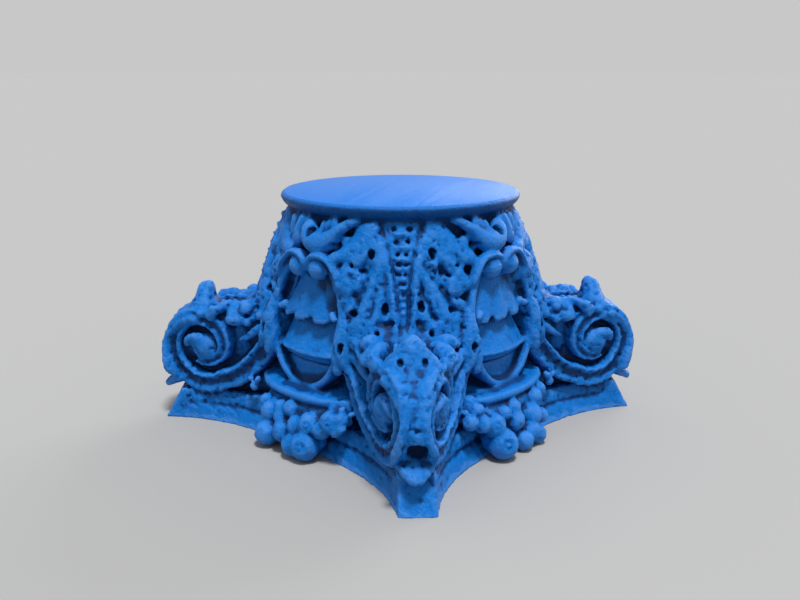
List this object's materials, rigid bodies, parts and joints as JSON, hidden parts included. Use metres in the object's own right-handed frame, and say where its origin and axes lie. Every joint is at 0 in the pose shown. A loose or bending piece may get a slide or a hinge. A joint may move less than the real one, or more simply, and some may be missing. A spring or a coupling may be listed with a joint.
{
  "type": "column capital",
  "caption": "Carved column capital with a hollow-sided square abacus, corner leaves and volutes, oval framed flowers and bunches of fruit, modelled standing on its abacus.",
  "frame": {"origin": "centre of the abacus underside, which is the flat face that the pictured capital stands on", "axes": "+Z from the abacus up to the neck bed, which is downward once the capital is set on its shaft; +X and +Y square to two sides of the abacus, so the corners lie on the diagonals"},
  "size_m": [0.48, 0.48, 0.304],
  "materials": {
    "painted_stone": "satin blue coat over pitted, tool-marked carved stone"
  },
  "bodies": {
    "root": {"column_capital": "painted_stone"}
  },
  "joints": []
}
